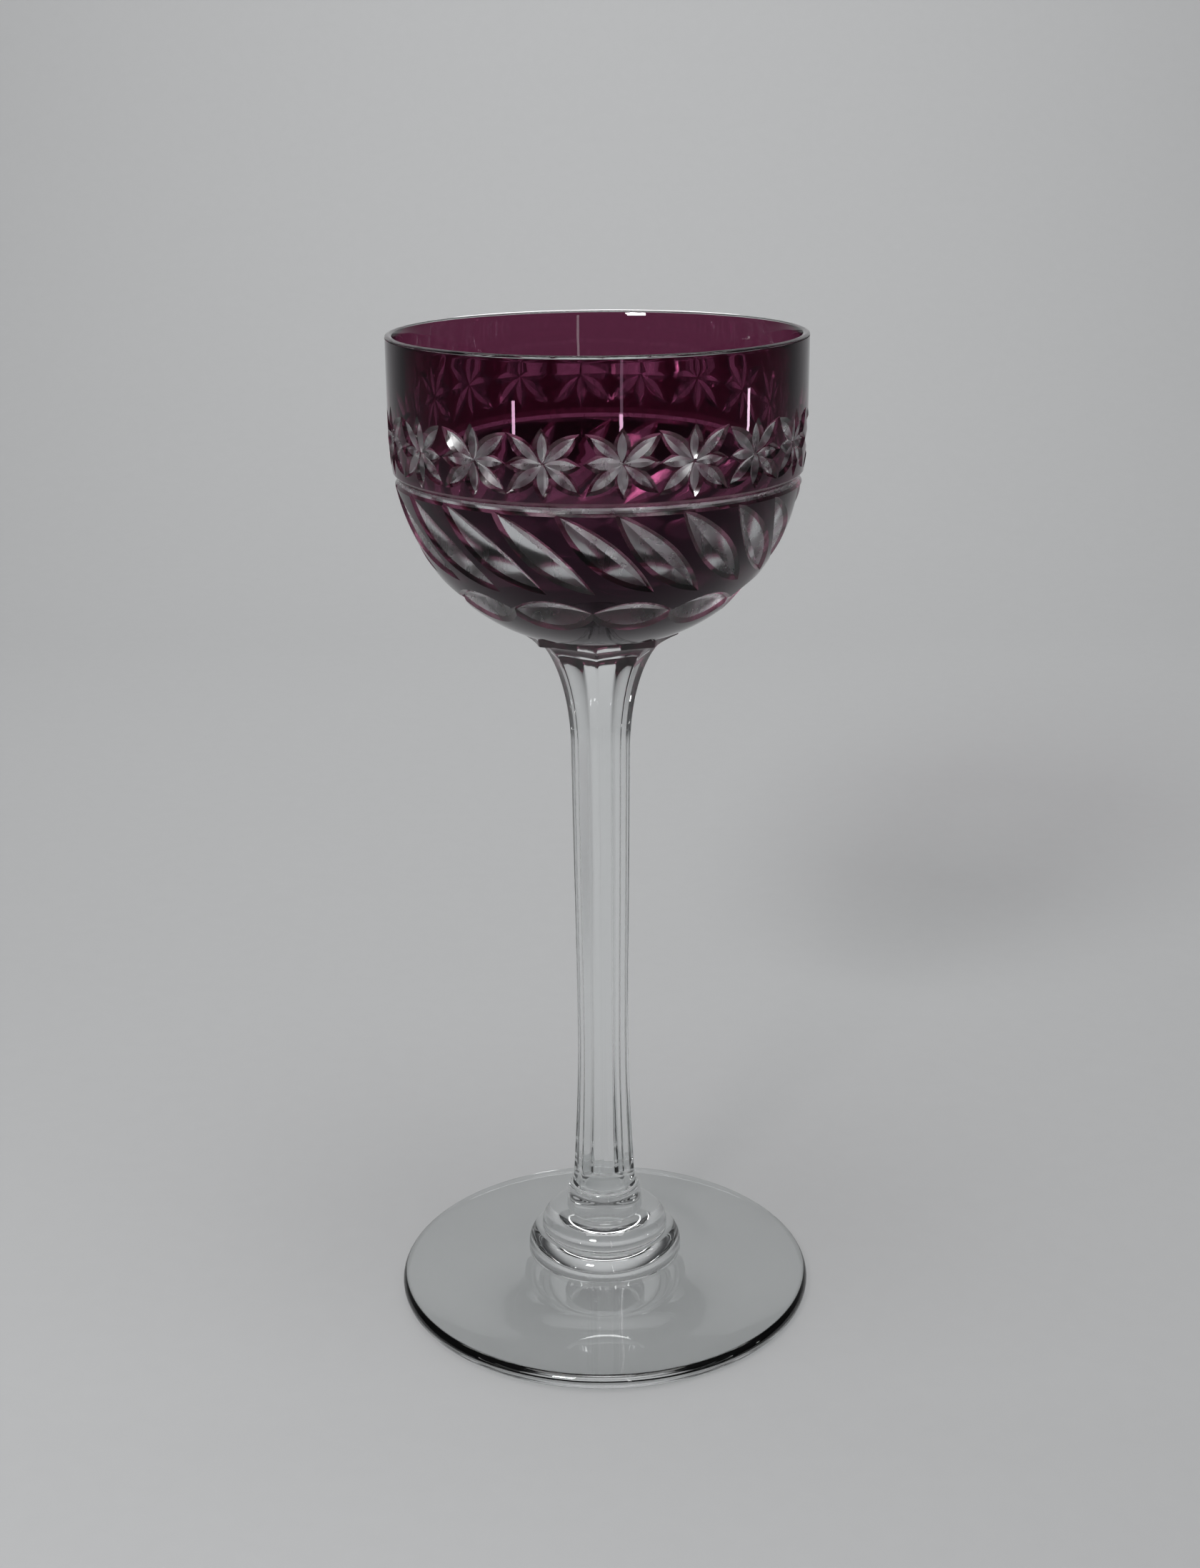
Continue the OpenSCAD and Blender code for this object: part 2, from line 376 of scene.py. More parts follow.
@dataclass(frozen=True)
class GlassFinish:
    """A glass surface that shows.

    Args:
        name: The material's name.
        tint: What light keeps of each colour in two passes of the surface.
        surface: How the surface is worked.
        painted_gleam: Painted colour of its mirror shine, which tints and dims its reflections; white for
            plain glass, which leaves them as they are.
        bend: Refractive index.
    """

    name: str
    tint: Colour
    surface: Surface
    painted_gleam: Colour = (1.0, 1.0, 1.0)
    bend: float = 1.54

    def make(self) -> bpy.types.Material:
        """Makes the material on the first call.

        Returns:
            The material.
        """
        made = bpy.data.materials.get(self.name)
        if made:
            return made
        made = bpy.data.materials.new(self.name)
        made.use_nodes = True
        glass = made.node_tree.nodes["Principled BSDF"]
        glass.inputs["Base Color"].default_value = (*self.tint, 1.0)
        glass.inputs["Transmission Weight"].default_value = 1.0
        glass.inputs["IOR"].default_value = self.bend
        # Painted reflection: a coloured specular tint turns the mirror shine pink and dims it.
        glass.inputs["Specular Tint"].default_value = (*self.painted_gleam, 1.0)
        self.work_surface(made, glass)
        self.tint_shadow(made, glass)
        return made

    def work_surface(self, made: bpy.types.Material, glass: bpy.types.Node) -> None:
        """Puts the shared group in, for the relief and the roughness.

        Args:
            made: The material.
            glass: Its shader.
        """
        nodes, links = made.node_tree.nodes, made.node_tree.links
        worked = nodes.new("ShaderNodeGroup")
        worked.node_tree = bpy.data.node_groups[self.surface.group]
        worked.inputs[0].default_value = self.surface.scale
        worked.inputs["Shine"].default_value = self.surface.shine
        worked.inputs["Unevenness"].default_value = self.surface.unevenness
        links.new(worked.outputs["Roughness"], glass.inputs["Roughness"])
        bump = nodes.new("ShaderNodeBump")
        bump.inputs["Strength"].default_value = 1.0
        bump.inputs["Distance"].default_value = self.surface.relief * MM
        links.new(worked.outputs["Height"], bump.inputs["Height"])
        links.new(bump.outputs["Normal"], glass.inputs["Normal"])

    def tint_shadow(self, made: bpy.types.Material, glass: bpy.types.Node) -> None:
        """Lets the glass throw a coloured shadow, as real glass does, and not a black one.

        Args:
            made: The material.
            glass: Its shader.
        """
        nodes, links = made.node_tree.nodes, made.node_tree.links
        path = nodes.new("ShaderNodeLightPath")
        through = nodes.new("ShaderNodeBsdfTransparent")
        kept = (THROUGH_FACE * math.sqrt(part) for part in self.tint)
        through.inputs["Color"].default_value = (*kept, 1.0)
        choice = nodes.new("ShaderNodeMixShader")
        links.new(path.outputs["Is Shadow Ray"], choice.inputs["Fac"])
        links.new(glass.outputs["BSDF"], choice.inputs[1])
        links.new(through.outputs["BSDF"], choice.inputs[2])
        links.new(choice.outputs["Shader"], nodes["Material Output"].inputs["Surface"])


@dataclass(frozen=True)
class FusedFinish:
    """The inside of a hot joint, where light passes from glass to glass without a seam.

    Args:
        name: The material's name.
        tint: What light keeps of each colour in two passes of the joint.
        cover: 0 where the joint is clear, and 1 where it has a colour.
    """

    name: str
    tint: Colour
    cover: float

    def make(self) -> bpy.types.Material:
        """Makes the material on the first call.

        Returns:
            The material.
        """
        made = bpy.data.materials.get(self.name)
        if made:
            return made
        made = bpy.data.materials.new(self.name)
        made.use_nodes = True
        glass = made.node_tree.nodes["Principled BSDF"]
        glass.inputs["Base Color"].default_value = (*self.tint, 1.0)
        glass.inputs["Transmission Weight"].default_value = 1.0
        glass.inputs["Roughness"].default_value = 0.0
        glass.inputs["IOR"].default_value = 1.0
        glass.inputs["Alpha"].default_value = self.cover
        return made


@dataclass(frozen=True)
class PaperFinish:
    """Matt paper with a faint fibre.

    Args:
        name: The material's name.
        tint: Its colour.
        fleck: The share of that colour that its darker fibres have.
        fibre: Scale of the fibres.
    """

    name: str
    tint: Colour
    fleck: float
    fibre: float

    def make(self) -> bpy.types.Material:
        """Makes the material.

        Returns:
            The material.
        """
        made = bpy.data.materials.new(self.name)
        made.use_nodes = True
        nodes, links = made.node_tree.nodes, made.node_tree.links
        matt = nodes["Principled BSDF"]
        matt.inputs["Roughness"].default_value = 0.9
        place = nodes.new("ShaderNodeTexCoord")
        fibres = nodes.new("ShaderNodeTexNoise")
        fibres.inputs["Scale"].default_value = self.fibre
        tone = nodes.new("ShaderNodeMix")
        tone.data_type = "RGBA"
        tone.inputs["A"].default_value = (*(part * self.fleck for part in self.tint), 1.0)
        tone.inputs["B"].default_value = (*self.tint, 1.0)
        links.new(place.outputs["Object"], fibres.inputs["Vector"])
        links.new(fibres.outputs["Fac"], tone.inputs["Factor"])
        links.new(tone.outputs["Result"], matt.inputs["Base Color"])
        return made


@dataclass(frozen=True)
class Glass:
    """A kind of glass in the object.

    Args:
        outside: Finish of its fire-polished faces.
        cuts: Finish of its wheel-cut faces.
        slot: The record's slot for it; not used.
    """

    outside: GlassFinish
    cuts: GlassFinish
    slot: Slot


FIRE_POLISHED = Surface("Hand-worked glass", scale=120.0, shine=0.0, unevenness=0.02, relief=0.02)
GROUND = Surface("Wheel marks", scale=2600.0, shine=0.2, unevenness=0.16, relief=0.01)
GROUND_FINE = Surface("Wheel marks", scale=2600.0, shine=0.08, unevenness=0.15, relief=0.01)

CRYSTAL = GlassFinish("Clear crystal", (0.97, 0.985, 0.985), FIRE_POLISHED)
# The cut crystal's grey tint is partly light that its ground faces scatter back and partly painted shade.
CRYSTAL_CUT = GlassFinish("Cut crystal", (0.72, 0.73, 0.745), GROUND)
# The rim casing's pink gleam is a painted tint on its reflections.
AMETHYST = GlassFinish(
    "Amethyst casing",
    (0.03, 0.0012, 0.007),
    FIRE_POLISHED,
    painted_gleam=(0.75, 0.45, 0.65),
)
# The base casing's tint is far darker than the rim's: partly for a thicker casing near the base, partly
# painted shade. Its dim pink gleam is a painted tint on its reflections, which darkens them too.
AMETHYST_DEEP_SHADED = GlassFinish(
    "Deep amethyst casing with painted shade",
    (0.0012, 0.00006, 0.0003),
    FIRE_POLISHED,
    painted_gleam=(0.45, 0.2, 0.35),
)
AMETHYST_CUT = GlassFinish("Cut amethyst edge", (0.08, 0.008, 0.025), GROUND_FINE)
FUSED = FusedFinish("Fused joint", (1.0, 1.0, 1.0), cover=0.0)
CASED = FusedFinish("Cased joint", (0.004, 0.0003, 0.001), cover=1.0)
PAPER = PaperFinish("Backdrop paper", (0.52, 0.525, 0.53), fleck=0.97, fibre=300.0)

CLEAR_GLASS = Glass(CRYSTAL, CRYSTAL_CUT, Slot.CRYSTAL)
RIM_GLASS = Glass(AMETHYST, AMETHYST_CUT, Slot.AMETHYST)
BASE_GLASS = Glass(AMETHYST_DEEP_SHADED, AMETHYST_CUT, Slot.AMETHYST)


def dress(piece: bpy.types.Object, glass: Glass, node: str) -> bpy.types.Object:
    """Gives a finished piece its materials and its place in the model.

    Args:
        piece: The finished piece.
        glass: What it is made of.
        node: The CAD node that the piece replaces.

    Returns:
        The piece.
    """
    finishes = {Zone.OUTSIDE: glass.outside, Zone.FUSED: FUSED, Zone.CUT: glass.cuts, Zone.CASED: CASED}
    for zone, finish in finishes.items():
        piece.data.materials[zone.value] = finish.make()
    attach(piece, "root")
    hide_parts(node)
    return piece


# The bowl


@dataclass
class Bowl:
    """The blanks of the cased bowl, before the cutter has them. All sizes are in millimetres.

    The outside is straight at the top and below that a superellipse, whose pole lies a trim under the
    seat. The lip's shape gives each point's inset from the outside and its share of the lip's height.
    """

    radius: float = 25.0
    straight: float = 10.5
    trim: float = 2.0
    fullness: float = 2.17
    casing: float = 0.35
    mouth_r: float = 24.1
    mouth_drop: float = 0.5
    mouth_share: float = 0.1
    mouth_flare: float = 1.15
    cup_r: float = 22.8
    floor: float = 3.2
    lip: float = 0.35
    lip_shape: tuple[Point, ...] = (
        (0.06, 0.08),
        (0.01, 0.28),
        (0.06, 0.56),
        (0.2, 0.84),
        (0.45, 1.0),
        (0.65, 0.88),
        (0.82, 0.6),
    )
    wall_slack: float = 0.5
    row_gap: float = 0.2
    inward: float = 0.2
    rows: int = 40
    strips: int = 288

    @property
    def widest(self) -> float:
        """Height where the straight wall ends."""
        return RIM - self.straight

    @property
    def depth(self) -> float:
        """Height of the outside curve, down to its pole."""
        return self.widest - SEAT + self.trim

    @property
    def core_r(self) -> float:
        """Radius of the crystal under the casing."""
        return self.radius - self.casing

    @property
    def core_depth(self) -> float:
        """Height of the crystal's outside curve, down to its pole."""
        return self.depth - self.casing

    @property
    def lip_z(self) -> float:
        """Height where the casing ends and the clear lip starts."""
        return RIM - self.lip

    def curve_r(self, radius: float, depth: float, z: float) -> float:
        """Works out the radius of a bowl curve.

        Args:
            radius: Radius at the widest level.
            depth: Height from there to the pole.
            z: The height.

        Returns:
            The radius at that height, which is the widest one on the straight wall.
        """
        if z >= self.widest:
            return radius
        share = 1 - ((self.widest - z) / depth) ** self.fullness
        return radius * share ** (1 / self.fullness)

    def outside_r(self, z: float) -> float:
        """Returns the outside radius at a height."""
        return self.curve_r(self.radius, self.depth, z)

    def outside_lean(self, z: float) -> float:
        """Works out how far the outside leans from the upright.

        Args:
            z: The height.

        Returns:
            The lean in radians.
        """
        fall = max(self.widest - z, 0.0)
        share = (fall / self.depth) ** (self.fullness - 1) * self.radius / self.depth
        return math.atan(share * (self.outside_r(z) / self.radius) ** (1 - self.fullness))

    def curve(self, radius: float, depth: float, low: float) -> list[Point]:
        """Sets out a bowl curve from its widest level down.

        Args:
            radius: Radius at the widest level.
            depth: Height from there to the pole.
            low: Lowest level that is kept.

        Returns:
            Radius and height of each point.
        """
        points = []
        for i in range(self.rows + 1):
            a = math.pi / 2 * i / self.rows
            z = self.widest - depth * math.sin(a) ** (2 / self.fullness)
            if z <= low:
                points.append((self.curve_r(radius, depth, low), low))
                break
            points.append((radius * max(math.cos(a), 0.0) ** (2 / self.fullness), z))
        return points

    def wall(self, radius: float, low: float, high: float) -> list[Point]:
        """Sets out a straight wall from its lower end up, in steps of about a millimetre.

        Args:
            radius: Its radius.
            low: Its lower level.
            high: Its upper level.

        Returns:
            Radius and height of each point.
        """
        steps = max(round(high - low), 1)
        return [(radius, low + (high - low) * i / steps) for i in range(steps + 1)]

    def on_glass(self, z: float, turn: float) -> Matrix:
        """Finds the frame on the glass in which a wheel is set: X outward, Z up along the glass.

        Args:
            z: The height.
            turn: Degrees round the bowl from the front.

        Returns:
            The frame.
        """
        return (
            Matrix.Rotation(math.radians(turn - 90), 4, "Z")
            @ Matrix.Translation((self.outside_r(z) * MM, 0, z * MM))
            @ Matrix.Rotation(self.outside_lean(z), 4, "Y")
        )

    def under_casing(self, middle: Vector, normal: Vector) -> bool:
        """Says whether the casing lies on a face of the crystal.

        Args:
            middle: The face's middle.
            normal: Its normal.

        Returns:
            True for a face on the crystal's outer curve, below the lip.
        """
        z, radius = middle.z / MM, math.hypot(middle.x, middle.y) / MM
        outward = middle.x * normal.x + middle.y * normal.y > 0
        beyond_cup = radius > self.outside_r(max(z, SEAT)) - self.casing - self.wall_slack
        return middle.z < self.lip_z * MM and outward and beyond_cup

    def on_crystal(self, middle: Vector, normal: Vector) -> bool:
        """Says whether a face of the casing looks in at the crystal."""
        return middle.x * normal.x + middle.y * normal.y < -self.inward * math.hypot(middle.x, middle.y)

    def on_seat(self, middle: Vector, normal: Vector) -> bool:
        """Says whether a face of the crystal rests on the stem."""
        return middle.z < (SEAT + HAIR) * MM and normal.z < -UPRIGHT

    def crystal_blank(self) -> bpy.types.Object:
        """Spins the clear inner bowl, with its rounded lip and its thick bottom.

        Returns:
            The blank.
        """
        outer = self.curve(self.core_r, self.core_depth, SEAT)[::-1]
        wall = self.wall(self.core_r, self.widest, self.lip_z)
        lip = [(self.radius - inset, self.lip_z + self.lip * share) for inset, share in self.lip_shape]
        mouth = [(self.mouth_r, self.lip_z + self.lip * self.mouth_share)]
        for _, z in self.wall(self.mouth_r, self.widest, self.lip_z - self.mouth_drop)[:0:-1]:
            flare = ((z - self.widest) / self.straight) ** self.mouth_flare
            mouth.append((self.cup_r + (self.mouth_r - self.cup_r) * flare, z))
        bottom = SEAT + self.floor
        cup = self.curve(self.cup_r, self.widest - SEAT - self.floor, bottom)[:-1]
        outline = [(0.0, SEAT), *outer[:-1], *wall, *lip, *mouth, *cup, (0.0, bottom)]
        blank = lathe("crystal_bowl_cut", outline, self.strips)
        zone_faces(blank, Zone.FUSED, self.under_casing)
        zone_faces(blank, Zone.CASED, self.on_seat)
        return blank

    def casing_blank(self, name: str, low: float, high: float) -> bpy.types.Object:
        """Spins one stretch of the amethyst casing, which starts below the straight wall.

        Args:
            name: The new piece's name.
            low: Its lower level.
            high: Its upper level.

        Returns:
            The blank.
        """
        top = min(high, self.widest)
        sides = []
        for radius, depth in ((self.radius, self.depth), (self.core_r, self.core_depth)):
            side = [spot for spot in self.curve(radius, depth, low)[::-1] if spot[1] < top - self.row_gap]
            side.append((self.curve_r(radius, depth, top), top))
            if high > self.widest:
                side += self.wall(radius, self.widest, high)[1:]
            sides.append(side)
        outer, inner = sides
        blank = lathe(name, [*outer, *inner[::-1], outer[0]], self.strips)
        zone_faces(blank, Zone.FUSED, self.on_crystal)
        return blank


@dataclass
class Wheel:
    """A V-edged cutting wheel, all of it or only the rim. All sizes are in millimetres.

    Args:
        name: Its name.
        radius: Its radius.
        half_width: Half the width of the V at the glass's surface.
        depth: How deep the V goes.
        reach: How far in from the edge the wheel is built.
        strips: How many flat strips make its full turn.
    """

    name: str
    radius: float
    half_width: float
    depth: float
    reach: float
    strips: int

    def make(self) -> bpy.types.Object:
        """Spins the wheel round the Y axis, with every face marked as a cut.

        Returns:
            The wheel.
        """
        slope = self.half_width / self.depth
        thick = min(self.radius, self.reach) * slope
        inner = max(self.radius - self.reach, 0.0)
        outline: list[Point] = [(0.0, -thick)]
        if inner > 0:
            outline.append((inner, -thick))
        outline.append((self.radius, 0.0))
        if inner > 0:
            outline.append((inner, thick))
        outline.append((0.0, thick))
        wheel = lathe(self.name, outline, self.strips)
        wheel.matrix_world = Matrix.Rotation(math.pi / 2, 4, "X")
        settle(wheel)
        zone_faces(wheel, Zone.CUT)
        return wheel


@dataclass(frozen=True)
class Stray:
    """How far the cutter's hand strays, at most, either way.

    Args:
        rise: Up or down the glass, in millimetres.
        turn: Round the glass, in degrees.
        lean: In the cut's slant, in degrees.
        depth: In its depth, in millimetres.
    """

    rise: float
    turn: float
    lean: float = 0.0
    depth: float = 0.0


@dataclass
class BowlCuts:
    """The cutter's pattern on the bowl: stars, the ring, the slanted cuts and the base ovals.

    Sizes are in millimetres, a drop is measured down from the rim, and a turn in degrees from the front.
    """

    bowl: Bowl
    star_count: int = 18
    star_turn: float = 5.8
    star_drop: float = 11.8
    star_stray: Stray = Stray(rise=0.16, turn=0.45)
    upright: float = 4.1
    slant: float = 5.5
    slant_angle: float = 51.0
    ray_w: float = 2.15
    ray_depth: float = 0.8
    ray_past: float = 0.5
    ray_stray: Stray = Stray(rise=0.1, turn=0.25, lean=2.5, depth=0.08)
    ring_drop: float = 16.9
    ring_w: float = 1.5
    ring_depth: float = 0.6
    ring_past: float = 0.4
    swirl_count: int = 21
    swirl_turn: float = 0.9
    swirl_drop: float = 22.6
    swirl_angle: float = 46.0
    swirl_w: float = 4.3
    swirl_depth: float = 1.35
    swirl_wheel_r: float = 400.0
    swirl_stray: Stray = Stray(rise=0.2, turn=0.7, lean=1.6, depth=0.07)
    oval_count: int = 12
    oval_turn: float = 12.0
    oval_drop: float = 30.5
    oval_angle: float = 90.0
    oval_w: float = 7.0
    oval_depth: float = 1.3
    oval_overlap: float = 1.12
    oval_stray: Stray = Stray(rise=0.12, turn=0.5, lean=1.2, depth=0.05)
    seed: int = 23
    hand: random.Random = field(init=False)

    def __post_init__(self) -> None:
        """Gives the cutter a hand that strays alike in every run."""
        self.hand = random.Random(self.seed)

    def off(self, most: float) -> float:
        """Returns how far the hand strays this time."""
        return self.hand.uniform(-most, most)

    def fall(self, length: float, radius: float) -> float:
        """Returns how far the round glass falls away under the ends of a cut."""
        return radius - math.sqrt(radius**2 - (length / 2) ** 2)

    def wheel_r(self, length: float, depth: float) -> float:
        """Returns the radius of the wheel that leaves a cut of a length and a depth."""
        return (length / 2) ** 2 / (2 * depth) + depth / 2

    def ray_cutters(self) -> list[bpy.types.Object]:
        """Sets the wheels for the stars' rays.

        Returns:
            One cutter for each direction of ray, holding that ray of every star.
        """
        half_pitch = math.pi * self.bowl.radius / self.star_count
        slants = (self.slant_angle, 180 - self.slant_angle)
        rays = [(0.0, self.upright), (180.0, self.upright), (90.0, half_pitch), (270.0, half_pitch)]
        rays += [(side * lean, self.slant) for side in (-1, 1) for lean in slants]
        stray = self.star_stray
        stars = [(self.off(stray.rise), self.off(stray.turn)) for _ in range(self.star_count)]
        return [self.ray_cutter(lean, length, stars) for lean, length in rays]

    def ray_cutter(self, lean: float, length: float, stars: Sequence[Point]) -> bpy.types.Object:
        """Sets the wheels for one ray of every star.

        Args:
            lean: The ray's direction in degrees from straight up.
            length: Its length from the star's middle.
            stars: How far each star's middle strays up, in millimetres, and round, in degrees.

        Returns:
            The cutter.
        """
        tilt = math.radians(lean)
        whole = length + self.ray_past
        bite = self.ray_depth - self.fall(whole * abs(math.sin(tilt)), self.bowl.radius)
        radius = self.wheel_r(whole, bite)
        wheel = Wheel("ray_wheel", radius, self.ray_w / 2, self.ray_depth, reach=4.0, strips=56).make()
        out = (length - self.ray_past) / 2
        level = RIM - self.star_drop + out * math.cos(tilt)
        turn = self.star_turn + math.degrees(out * math.sin(tilt) / self.bowl.radius)
        row = []
        for i, (rise, shift) in enumerate(stars):
            z = level + rise + self.off(self.ray_stray.rise)
            around = turn + i * 360 / self.star_count + shift + self.off(self.ray_stray.turn)
            deep = self.ray_depth + self.off(self.ray_stray.depth)
            slope = -lean + self.off(self.ray_stray.lean)
            row.append(self.set_wheel(wheel, self.bowl.on_glass(z, around), slope, radius - deep))
        drop(wheel)
        return join_all(row, "rays")

    def set_wheel(self, wheel: bpy.types.Object, spot: Matrix, lean: float, back: float) -> bpy.types.Object:
        """Sets a copy of a wheel against the glass.

        Args:
            wheel: The wheel.
            spot: The frame on the glass.
            lean: How the wheel leans there, in degrees.
            back: How far the wheel's axle stands off the glass, in millimetres.

        Returns:
            The copy.
        """
        lean_over = Matrix.Rotation(math.radians(lean), 4, "X")
        return copy_of(wheel, spot @ lean_over @ Matrix.Translation((back * MM, 0, 0)))

    def ring_cutter(self) -> bpy.types.Object:
        """Builds the V ring that parts the casing.

        Returns:
            The cutter.
        """
        z = RIM - self.ring_drop
        low_r = self.bowl.outside_r(z) - self.ring_depth
        wide = self.ring_depth + self.ring_past
        tall = wide * (self.ring_w / 2 / self.ring_depth)
        outline = [(low_r, z), (low_r + wide, z + tall), (low_r + wide, z - tall), (low_r, z)]
        ring = lathe("ring_wheel", outline, self.bowl.strips)
        zone_faces(ring, Zone.CUT)
        return ring

    def swirl_cutters(self) -> list[bpy.types.Object]:
        """Sets the wheel for the slanted cuts.

        Returns:
            A cutter for each slanted cut.
        """
        radius = self.swirl_wheel_r
        wheel = Wheel("swirl_wheel", radius, self.swirl_w / 2, self.swirl_depth, reach=3.5, strips=360).make()
        level = RIM - self.swirl_drop
        places = [(level, self.swirl_turn + i * 360 / self.swirl_count) for i in range(self.swirl_count)]
        return self.row_of(wheel, places, self.swirl_angle, radius - self.swirl_depth, self.swirl_stray)

    def oval_cutters(self) -> list[bpy.types.Object]:
        """Sets the wheel for the ovals.

        Returns:
            A cutter for each oval.
        """
        level = RIM - self.oval_drop
        ring_r = self.bowl.outside_r(level)
        length = math.tau * ring_r / self.oval_count * self.oval_overlap
        bite = self.oval_depth - self.fall(length, ring_r) * math.cos(self.bowl.outside_lean(level))
        radius = self.wheel_r(length, bite)
        wheel = Wheel("oval_wheel", radius, self.oval_w / 2, self.oval_depth, reach=2.2, strips=160).make()
        places = [(level, self.oval_turn + i * 360 / self.oval_count) for i in range(self.oval_count)]
        return self.row_of(wheel, places, self.oval_angle, radius - self.oval_depth, self.oval_stray)

    def row_of(
        self,
        wheel: bpy.types.Object,
        places: Sequence[Point],
        angle: float,
        back: float,
        stray: Stray,
    ) -> list[bpy.types.Object]:
        """Sets a wheel at places round the bowl, each a little off as the hand strays.

        Args:
            wheel: The wheel, which is used up.
            places: Height in millimetres and turn in degrees of each cut.
            angle: How the wheel leans, in degrees.
            back: How far its axle stands off the glass, in millimetres.
            stray: How far the hand strays.

        Returns:
            A cutter for each place.
        """
        cutters = []
        for level, turn in places:
            around = turn + self.off(stray.turn)
            lean = angle + self.off(stray.lean)
            stand = back - self.off(stray.depth)
            spot = self.bowl.on_glass(level + self.off(stray.rise), around)
            cutters.append(self.set_wheel(wheel, spot, lean, stand))
            settle(cutters[-1])
        drop(wheel)
        return cutters

    def make(self) -> list[bpy.types.Object]:
        """Builds the three pieces of the bowl, cuts them and dresses them.

        Returns:
            The crystal bowl, the rim casing and the base casing.
        """
        ring_z = RIM - self.ring_drop
        crystal = self.bowl.crystal_blank()
        rim = self.bowl.casing_blank("amethyst_rim_casing_cut", ring_z, self.bowl.lip_z)
        base = self.bowl.casing_blank("amethyst_base_casing_cut", SEAT, ring_z)
        rays, ring = self.ray_cutters(), self.ring_cutter()
        swirls, ovals = self.swirl_cutters(), self.oval_cutters()
        for blank, cutters in (
            (crystal, [*rays, ring, *swirls, *ovals]),
            (rim, [*rays, ring]),
            (base, [ring, *swirls, *ovals]),
        ):
            for cutter in cutters:
                cut(blank, cutter)
            polish(blank, CRISP_CUT)
        for cutter in [*rays, ring, *swirls, *ovals]:
            drop(cutter)
        return [
            dress(crystal, CLEAR_GLASS, "crystal_bowl"),
            dress(rim, RIM_GLASS, "amethyst_rim_casing"),
            dress(base, BASE_GLASS, "amethyst_base_casing"),
        ]


# The stem, the collars and the foot


